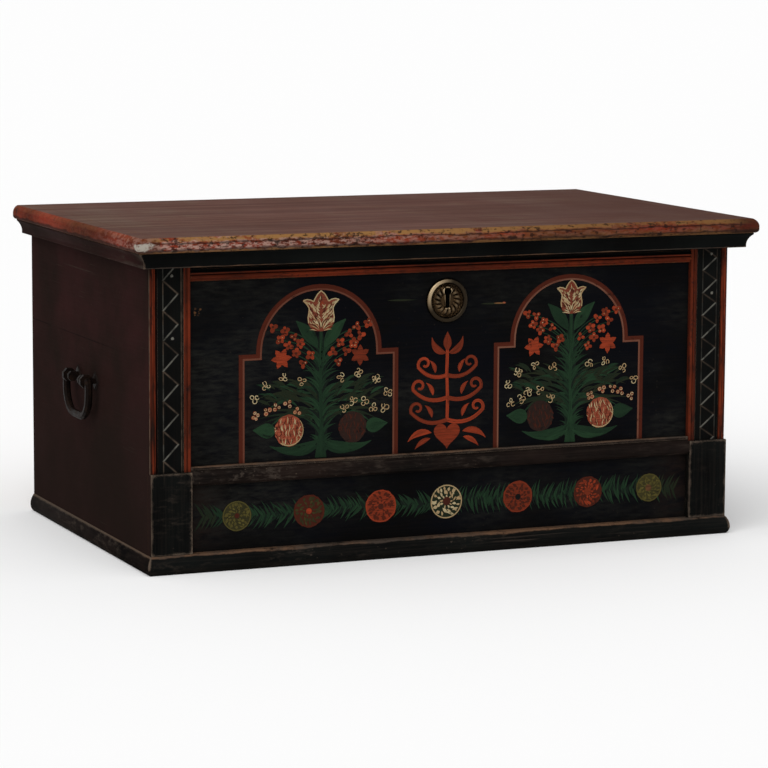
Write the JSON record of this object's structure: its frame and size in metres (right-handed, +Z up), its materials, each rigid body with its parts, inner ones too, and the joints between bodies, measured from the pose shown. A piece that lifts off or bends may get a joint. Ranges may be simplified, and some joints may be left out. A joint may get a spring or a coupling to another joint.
{
  "type": "painted trunk",
  "caption": "Painted joiner-made dowry chest with dovetailed boards, applied mouldings, a hinged lid, an inside lock, an open till and bail handles on the sides.",
  "frame": {"origin": "on the floor under the middle of the carcass", "axes": "+X to the right of the front, +Y to the back, +Z up"},
  "size_m": [1.192, 0.7484, 0.5864],
  "materials": {
    "dark_paint": "worn dark paint on pine boards",
    "red_paint": "worn orange-red paint on pine",
    "bare_wood": "unpainted aged pine",
    "iron": "forged iron, darkened",
    "brass": "aged stamped brass"
  },
  "bodies": {
    "carcass": {"back_board_lower": "bare_wood", "back_board_upper": "bare_wood", "base_moulding_front": "dark_paint", "base_moulding_left": "dark_paint", "base_moulding_right": "dark_paint", "bottom_board_front": "bare_wood", "bottom_board_middle": "bare_wood", "bottom_board_rear": "bare_wood", "escutcheon": "brass", "front_board_lower": "dark_paint", "front_board_upper": "dark_paint", "handle_eyes_left": "iron", "handle_eyes_right": "iron", "handle_roses_left": "iron", "handle_roses_right": "iron", "hinge_leaf_left": "iron", "hinge_leaf_nails": "iron", "hinge_leaf_right": "iron", "hinge_pin_left": "iron", "hinge_pin_right": "iron", "left_side_board_lower": "dark_paint", "left_side_board_upper": "dark_paint", "lock_case": "iron", "lock_nails": "iron", "lock_plate": "iron", "lock_spring": "iron", "lock_studs": "iron", "middle_rail": "dark_paint", "panel_frame_left": "red_paint", "panel_frame_right": "red_paint", "panel_frame_top": "red_paint", "pilaster_left": "dark_paint", "pilaster_right": "dark_paint", "plinth_block_left": "dark_paint", "plinth_block_right": "dark_paint", "right_side_board_lower": "dark_paint", "right_side_board_upper": "dark_paint", "till_bottom": "bare_wood", "till_front": "bare_wood"},
    "lid": {"hasp_nails": "iron", "hasp_staple": "iron", "hinge_strap_left": "iron", "hinge_strap_nails": "iron", "hinge_strap_right": "iron", "lid_board_front": "dark_paint", "lid_board_middle": "dark_paint", "lid_board_rear": "dark_paint", "lid_cleat_left": "dark_paint", "lid_cleat_right": "dark_paint", "lid_pegs": "bare_wood", "lid_skirt_front": "dark_paint", "lid_skirt_left": "dark_paint", "lid_skirt_right": "dark_paint", "lock_hasp": "iron"},
    "left_handle": {"handle_bail_left": "iron"},
    "right_handle": {"handle_bail_right": "iron"},
    "lock_bolt": {"lock_bolt": "iron"}
  },
  "joints": [
    {"name": "lid_hinge", "type": "hinge", "parent": "carcass", "child": "lid", "pos_m": [0, 0.3444, 0.5539], "axis": [-1, 0, 0], "range_deg": [0, 100]},
    {"name": "left_handle_swing", "type": "hinge", "parent": "carcass", "child": "left_handle", "pos_m": [-0.578, 0, 0.3], "axis": [0, 1, 0], "range_deg": [-8, 165]},
    {"name": "right_handle_swing", "type": "hinge", "parent": "carcass", "child": "right_handle", "pos_m": [0.578, 0, 0.3], "axis": [0, -1, 0], "range_deg": [-8, 165]},
    {"name": "lock_bolt_slide", "type": "slide", "parent": "carcass", "child": "lock_bolt", "axis": [1, 0, 0], "range_m": [0, 0.018]}
  ]
}
